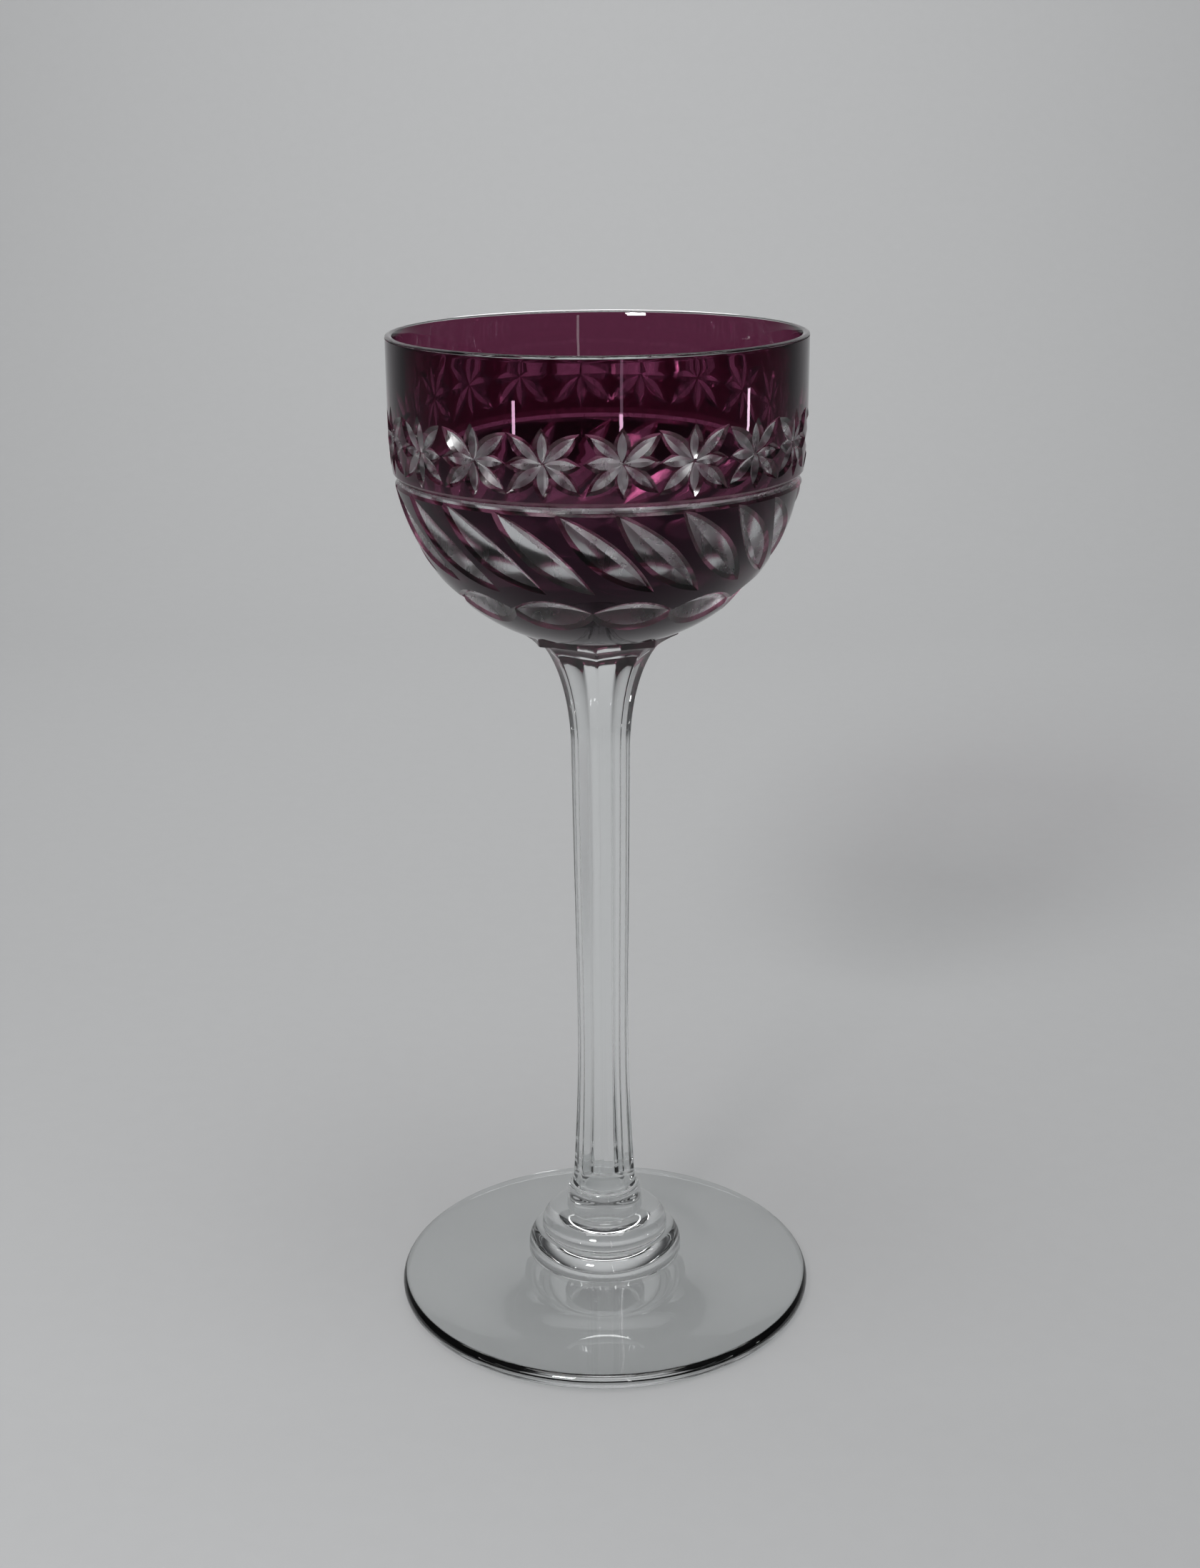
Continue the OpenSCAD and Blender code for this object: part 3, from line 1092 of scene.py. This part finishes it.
@dataclass
class Stem:
    """The fluted stem with the flare that carries the bowl. Sizes are in millimetres.

    Its top lies a hair under the seat, so that no two faces lie in one place.
    """

    low: float = BEAD_TOP
    high: float = SEAT - HAIR
    flutes: int = 8
    turn: float = -3.0
    foot_r: float = 4.2
    waist_r: float = 3.4
    waist_h: float = 22.0
    waist_rows: int = 12
    neck_r: float = 3.8
    shaft_rows: int = 16
    shaft_ease_share: float = 0.35
    flare_h: float = 14.9
    flare_r: float = 9.8
    flare_rows: int = 24
    edge_h: float = 1.2
    edge_lean: float = 0.25
    corner: float = 0.28
    corner_facets: int = 3
    hollow: float = 0.034
    facets: int = 6
    near_corner_share: float = 0.02

    def outline(self) -> list[Point]:
        """Sets out the corners from the lower end up.

        Returns:
            Radius and height of each level.
        """
        neck_z = self.high - self.edge_h - self.flare_h
        waist_z = self.low + self.waist_h
        points = []
        for i in range(self.waist_rows + 1):
            share = i / self.waist_rows
            swell = (self.foot_r - self.waist_r) * (1 - math.sin(math.pi / 2 * share))
            points.append((self.waist_r + swell, self.low + self.waist_h * share))
        for i in range(1, self.shaft_rows):
            share = i / self.shaft_rows
            smooth = share * share * (3 - 2 * share)
            ease = smooth * self.shaft_ease_share + share * (1 - self.shaft_ease_share)
            swell = (self.neck_r - self.waist_r) * ease
            points.append((self.waist_r + swell, waist_z + (neck_z - waist_z) * share))
        wide = self.flare_r - self.neck_r
        for i in range(self.flare_rows + 1):
            a = math.pi / 2 * i / self.flare_rows
            points.append((self.neck_r + wide * (1 - math.cos(a)), neck_z + self.flare_h * math.sin(a)))
        points.append((self.flare_r + self.edge_lean, self.high))
        return points

    def along_flute(self, spot: Vector) -> float:
        """Finds where a point lies between two corners.

        Args:
            spot: The point.

        Returns:
            Its share of the way, from 0 at a corner to 0.5 in mid-flute.
        """
        pitch = 360 / self.flutes
        off = abs(math.remainder(math.degrees(math.atan2(spot.y, spot.x)) - self.turn + 90, pitch))
        return 0.5 - 0.5 * math.tan(math.radians(pitch / 2 - off)) / math.tan(math.radians(pitch / 2))

    def first_ring(self) -> bpy.types.Object:
        """Lays the stem's lowest ring, a flat face with a hollow in each side.

        Returns:
            The ring.
        """
        bpy.ops.object.select_all(action="DESELECT")
        bpy.ops.mesh.primitive_circle_add(
            vertices=self.flutes,
            radius=self.foot_r * MM,
            fill_type="NGON",
            location=(0, 0, self.low * MM),
            rotation=(0, 0, math.radians(self.turn - 90)),
        )
        ring = bpy.context.object
        ring.name = ring.data.name = "fluted_stem_cut"
        settle(ring)
        add_zones(ring)
        bpy.ops.object.mode_set(mode="EDIT")
        bpy.ops.mesh.select_all(action="SELECT")
        bpy.ops.mesh.subdivide(number_cuts=self.facets - 1)
        bpy.ops.object.mode_set(mode="OBJECT")
        places = {round(self.along_flute(spot.co), 2) for spot in ring.data.vertices}
        for place in sorted(places - {0.0}):
            self.draw_in(ring, place)
        return ring

    def draw_in(self, ring: bpy.types.Object, place: float) -> None:
        """Draws the points at one place along every flute towards the axis.

        Args:
            ring: The first ring.
            place: Their share of the way between two corners.
        """
        bpy.ops.object.mode_set(mode="EDIT")
        bpy.ops.mesh.select_mode(type="VERT")
        bpy.ops.mesh.select_all(action="DESELECT")
        bpy.ops.object.mode_set(mode="OBJECT")
        for spot in ring.data.vertices:
            spot.select = round(self.along_flute(spot.co), 2) == place
        bpy.ops.object.mode_set(mode="EDIT")
        drawn = 1 - self.hollow * 4 * place * (1 - place)
        bpy.ops.transform.resize(value=(drawn, drawn, 1), center_override=(0, 0, 0))
        bpy.ops.object.mode_set(mode="OBJECT")

    def round_corners(self, stem: bpy.types.Object) -> None:
        """Bevels the long corners between the flutes.

        Args:
            stem: The raised stem.
        """
        mesh = stem.data
        weights = mesh.attributes.new("bevel_weight_edge", "FLOAT", "EDGE")
        for edge in mesh.edges:
            a, b = (mesh.vertices[i].co for i in edge.vertices)
            if abs(a.z - b.z) > HAIR * MM and self.along_flute(a) < self.near_corner_share:
                weights.data[edge.index].value = 1.0
        select_only(stem)
        bevel = stem.modifiers.new("Soft corners", "BEVEL")
        bevel.limit_method = "WEIGHT"
        bevel.width = self.corner * MM
        bevel.segments = self.corner_facets
        bpy.ops.object.modifier_apply(modifier=bevel.name)

    def make(self) -> bpy.types.Object:
        """Raises the stem from its first ring, one level at a time, and dresses it.

        Returns:
            The stem.
        """
        stem = self.first_ring()
        levels = self.outline()
        bpy.ops.object.mode_set(mode="EDIT")
        bpy.ops.mesh.select_all(action="SELECT")
        for (last_r, last_z), (radius, z) in zip(levels, levels[1:]):
            bpy.ops.mesh.extrude_region_move(TRANSFORM_OT_translate={"value": (0, 0, (z - last_z) * MM)})
            grow = radius / last_r
            bpy.ops.transform.resize(value=(grow, grow, 1))
        bpy.ops.mesh.select_all(action="SELECT")
        bpy.ops.mesh.normals_make_consistent(inside=False)
        bpy.ops.object.mode_set(mode="OBJECT")
        self.round_corners(stem)
        zone_faces(stem, Zone.FUSED, lies_flat)
        polish(stem, CRISP_CUT)
        return dress(stem, CLEAR_GLASS, "fluted_stem")


@dataclass
class Collar:
    """A round collar under the stem. Sizes are in millimetres.

    Args:
        node: The CAD node that it replaces.
        low: Its lower level.
        high: Its upper level.
        radius: Its radius.
        band: Height of its upright band.
        shoulder: Width of its round shoulder.
        fused_below: Radius of the joint under it.
        fused_above: Radius of the joint on it.
        edge: Radius of its lower edge.
        clear: Joints and edges nearer than this share a point.
        strips: How many flat strips make its full turn.
    """

    node: str
    low: float
    high: float
    radius: float
    band: float
    shoulder: float
    fused_below: float
    fused_above: float
    edge: float = 0.18
    clear: float = 0.05
    strips: int = 144

    def outline(self) -> list[Point]:
        """Sets out the collar from the middle of its underside to the middle of its top.

        Returns:
            Radius and height of each point.
        """
        edge_r = self.radius - self.edge
        points = [(0.0, self.low), (self.fused_below / 2, self.low), (self.fused_below, self.low)]
        if edge_r > self.fused_below + self.clear:
            points.append((edge_r, self.low))
        points += arc((edge_r, self.low + self.edge), (self.edge, self.edge), start=-60, end=0, steps=4)
        middle = (self.radius - self.shoulder, self.low + self.band)
        points += arc(middle, (self.shoulder, self.high - self.low - self.band), start=4, end=90, steps=20)
        if points[-1][0] > self.fused_above + self.clear:
            points.append((self.fused_above, self.high))
        points.append((0.0, self.high))
        return points

    def joined(self, middle: Vector, normal: Vector) -> bool:
        """Says whether a face lies in a hot joint.

        Args:
            middle: The face's middle.
            normal: Its normal.

        Returns:
            True for a flat face inside the joint under the collar or on it.
        """
        reach, hair = math.hypot(middle.x, middle.y), HAIR * MM
        below = abs(middle.z - self.low * MM) < hair and reach < self.fused_below * MM
        above = abs(middle.z - self.high * MM) < hair and reach < self.fused_above * MM
        return lies_flat(middle, normal) and (below or above)

    def make(self) -> bpy.types.Object:
        """Spins the collar and dresses it.

        Returns:
            The collar.
        """
        collar = lathe(f"{self.node}_turned", self.outline(), self.strips)
        zone_faces(collar, Zone.FUSED, self.joined)
        polish(collar, CRISP_TURNED)
        return dress(collar, CLEAR_GLASS, self.node)


@dataclass
class Foot:
    """The round foot, a shallow cone with a rounded edge. Sizes are in millimetres."""

    radius: float = 27.4
    edge: float = 2.1
    edge_steps: int = 26
    rest: float = 3.5
    hollow: float = 0.7
    hollow_steps: int = 8
    sag: float = 0.18
    slope_steps: int = 22
    fused: float = 10.25
    strips: int = 256

    def outline(self) -> list[Point]:
        """Sets out the foot from the middle of its hollow underside to the middle of its top.

        Returns:
            Radius and height of each point.
        """
        half = self.edge / 2
        rest_r = self.radius - half
        hollow_r = rest_r - self.rest
        points = []
        for i in range(self.hollow_steps + 1):
            share = i / self.hollow_steps
            points.append((hollow_r * share, self.hollow * (1 - share**2)))
        points.append((hollow_r + self.rest / 2, 0.0))
        points += arc((rest_r, half), (half, half), start=-90, end=84, steps=self.edge_steps)
        edge_r, edge_z = points[-1]
        for i in range(1, self.slope_steps + 1):
            share = i / self.slope_steps
            z = edge_z + (FOOT_TOP - edge_z) * share - self.sag * math.sin(math.pi * share)
            points.append((edge_r + (self.fused - edge_r) * share, z))
        points += [(self.fused / 2, FOOT_TOP), (0.0, FOOT_TOP)]
        return points

    def under_collar(self, middle: Vector, normal: Vector) -> bool:
        """Says whether a face lies in the joint with the foot collar."""
        return middle.z > (FOOT_TOP - HAIR) * MM and normal.z > UPRIGHT

    def make(self) -> bpy.types.Object:
        """Spins the foot and dresses it.

        Returns:
            The foot.
        """
        foot = lathe("foot_turned", self.outline(), self.strips)
        zone_faces(foot, Zone.FUSED, self.under_collar)
        polish(foot, CRISP_TURNED)
        return dress(foot, CLEAR_GLASS, "foot")


COLLARS = (
    Collar(
        "stem_bead",
        low=MIDDLE_COLLAR_TOP,
        high=BEAD_TOP,
        radius=5.0,
        band=0.6,
        shoulder=0.8,
        fused_below=4.95,
        fused_above=4.2,
    ),
    Collar(
        "middle_collar",
        low=FOOT_COLLAR_TOP,
        high=MIDDLE_COLLAR_TOP,
        radius=8.4,
        band=0.4,
        shoulder=2.8,
        fused_below=8.2,
        fused_above=4.95,
    ),
    Collar(
        "foot_collar",
        low=FOOT_TOP,
        high=FOOT_COLLAR_TOP,
        radius=10.25,
        band=0.4,
        shoulder=2.0,
        fused_below=10.1,
        fused_above=8.2,
    ),
)


# The studio


@dataclass(frozen=True)
class SoftBox:
    """A flat lamp.

    Args:
        name: Its name.
        size: Its width and height in metres.
        power: Its power in watts.
        place: Where it hangs, in metres.
        aim: What it points at.
    """

    name: str
    size: Point
    power: float
    place: Place
    aim: Place

    def hang(self) -> bpy.types.Object:
        """Hangs the lamp.

        Returns:
            The lamp.
        """
        bpy.ops.object.light_add(type="AREA", location=self.place)
        lamp = bpy.context.object
        lamp.name = self.name
        lamp.data.shape = "RECTANGLE"
        lamp.data.size, lamp.data.size_y = self.size
        lamp.data.energy = self.power
        toward = Vector(self.aim) - Vector(self.place)
        lamp.rotation_euler = toward.to_track_quat("-Z", "Y").to_euler()
        return lamp


@dataclass(frozen=True)
class Spark:
    """A small lamp beside the camera that the glass mirrors as a bright dash.

    Args:
        name: Its name.
        place: Where it hangs, in metres.
        wide: Its width in millimetres.
        tall: Its height in millimetres.
        glow: Its power in watts for a square metre.
    """

    name: str
    place: Place
    wide: float
    tall: float
    glow: float

    def hang(self) -> bpy.types.Object:
        """Hangs the lamp, aimed level at the stem's axis and out of the camera's sight.

        Returns:
            The lamp.
        """
        power = self.glow * self.wide * self.tall * MM * MM
        size = (self.wide * MM, self.tall * MM)
        lamp = SoftBox(self.name, size, power, self.place, (0, 0, self.place[2])).hang()
        lamp.visible_camera = False
        return lamp


LAMPS = (
    SoftBox("Key", size=(0.07, 0.07), power=1.0, place=(-0.14, -0.3, 0.3), aim=(0, 0, 0.08)),
    SoftBox("Top", size=(0.5, 0.35), power=1.65, place=(0, -0.05, 0.65), aim=(0, 0.3, 0)),
    SoftBox("Backdrop", size=(0.7, 0.2), power=2.0, place=(0, 0.25, 0.55), aim=(0, 0.75, 0.15)),
    Spark("Left spark", place=(-0.206, -0.218, 0.076), wide=9, tall=16, glow=60),
    Spark("Middle spark", place=(0.056, -0.274, 0.079), wide=9, tall=9, glow=60),
    Spark("Long spark", place=(0.058, -0.276, 0.14), wide=7, tall=240, glow=7),
    Spark("Right spark", place=(0.3, -0.03, 0.078), wide=9, tall=13, glow=60),
)


@dataclass
class Studio:
    """Floor, backdrop, lamps and camera.

    Lengths are in metres, but the sensor in millimetres. The camera stands where the photographer
    did, by the ellipses of the rim and the foot.
    """

    sheet: float = 3.0
    sheet_drop: float = 0.05 * MM
    wall_y: float = 0.35
    wall_h: float = 1.6
    cove_r: float = 0.35
    cove_steps: int = 24
    below: Colour = (0.02, 0.02, 0.022)
    above: Colour = (0.08, 0.082, 0.085)
    dim_to: float = 0.35
    bright_from: float = 0.95
    camera_place: Place = (0.0, -0.25209, 0.15416)
    pitch: float = math.radians(18.314)
    yaw: float = math.radians(-0.0276)
    roll: float = -0.0086
    focal_px: float = 2945.6
    photo_px: float = 2196
    sensor: float = 24.0
    clip_start: float = 0.01
    bounces: int = 32
    clear_bounces: int = 64
    blur: float = 0.3

    def sweep(self) -> bpy.types.Object:
        """Builds the floor and the backdrop as one sheet that turns up in a soft cove.

        Returns:
            The sheet.
        """
        bpy.ops.object.select_all(action="DESELECT")
        middle_y = self.wall_y - self.sheet / 2
        bpy.ops.mesh.primitive_plane_add(size=self.sheet, location=(0, middle_y, -self.sheet_drop))
        sheet = bpy.context.object
        sheet.name = sheet.data.name = "floor_and_backdrop"
        settle(sheet)
        bpy.ops.object.mode_set(mode="EDIT")
        bpy.ops.mesh.select_all(action="DESELECT")
        bpy.ops.object.mode_set(mode="OBJECT")
        for edge in sheet.data.edges:
            edge.select = all(sheet.data.vertices[i].co.y > middle_y for i in edge.vertices)
        bpy.ops.object.mode_set(mode="EDIT")
        cove = arc((0.0, 0.0), (self.cove_r, self.cove_r), start=-90, end=0, steps=self.cove_steps)
        steps = [(0, end[0] - start[0], end[1] - start[1]) for start, end in zip(cove, cove[1:])]
        for step in [*steps, (0, 0, self.wall_h)]:
            bpy.ops.mesh.extrude_region_move(TRANSFORM_OT_translate={"value": step})
        bpy.ops.mesh.select_all(action="SELECT")
        bpy.ops.mesh.normals_make_consistent(inside=False)
        bpy.ops.object.mode_set(mode="OBJECT")
        polish(sheet, CRISP_SHEET)
        sheet.data.materials.append(PAPER.make())
        return sheet

    def surroundings(self) -> None:
        """Sets a plain dim world, a little brighter above than below."""
        world = bpy.data.worlds.new("Room")
        bpy.context.scene.world = world
        world.use_nodes = True
        nodes, links = world.node_tree.nodes, world.node_tree.links
        place = nodes.new("ShaderNodeTexCoord")
        split = nodes.new("ShaderNodeSeparateXYZ")
        ramp = nodes.new("ShaderNodeValToRGB")
        low, high = ramp.color_ramp.elements
        low.position, low.color = self.dim_to, (*self.below, 1.0)
        high.position, high.color = self.bright_from, (*self.above, 1.0)
        shift = nodes.new("ShaderNodeMath")
        shift.operation = "MULTIPLY_ADD"
        shift.inputs[1].default_value = 0.5
        shift.inputs[2].default_value = 0.5
        links.new(place.outputs["Generated"], split.inputs["Vector"])
        links.new(split.outputs["Z"], shift.inputs[0])
        links.new(shift.outputs[0], ramp.inputs["Fac"])
        links.new(ramp.outputs["Color"], nodes["Background"].inputs["Color"])

    def camera(self) -> bpy.types.Object:
        """Sets the camera.

        Returns:
            The camera.
        """
        sin_pitch, cos_pitch = math.sin(self.pitch), math.cos(self.pitch)
        ahead = Vector((math.sin(self.yaw) * cos_pitch, math.cos(self.yaw) * cos_pitch, -sin_pitch))
        level = Vector((math.cos(self.yaw), -math.sin(self.yaw), 0.0))
        above = level.cross(ahead)
        right = math.cos(self.roll) * level + math.sin(self.roll) * above
        up = -math.sin(self.roll) * level + math.cos(self.roll) * above
        turn = Matrix((right, up, -ahead)).transposed()
        bpy.ops.object.camera_add()
        camera = bpy.context.object
        camera.name = "camera"
        camera.matrix_world = Matrix.Translation(self.camera_place) @ turn.to_4x4()
        camera.data.sensor_fit = "VERTICAL"
        camera.data.sensor_height = self.sensor
        camera.data.lens = self.focal_px / self.photo_px * self.sensor
        camera.data.clip_start = self.clip_start
        bpy.context.scene.camera = camera
        return camera

    def make(self) -> None:
        """Sets up everything that isn't the glass."""
        self.camera()
        self.sweep()
        self.surroundings()
        for lamp in LAMPS:
            lamp.hang()
        scene = bpy.context.scene
        scene.view_settings.view_transform = "Standard"
        scene.cycles.max_bounces = self.bounces
        scene.cycles.transmission_bounces = self.bounces
        scene.cycles.transparent_max_bounces = self.clear_bounces
        scene.cycles.caustics_reflective = False
        scene.cycles.caustics_refractive = False
        scene.cycles.blur_glossy = self.blur


def main() -> None:
    """Builds the studio and every piece of the glass, and reports each."""
    logging.basicConfig(level=logging.INFO, format="%(message)s")
    Studio().make()
    hand_worked()
    wheel_marks()
    pieces = [*BowlCuts(Bowl()).make(), *(maker.make() for maker in (Stem(), *COLLARS, Foot()))]
    for piece in pieces:
        log.info("%s: %d faces", piece.name, len(piece.data.polygons))


if __name__ == "__main__":
    main()
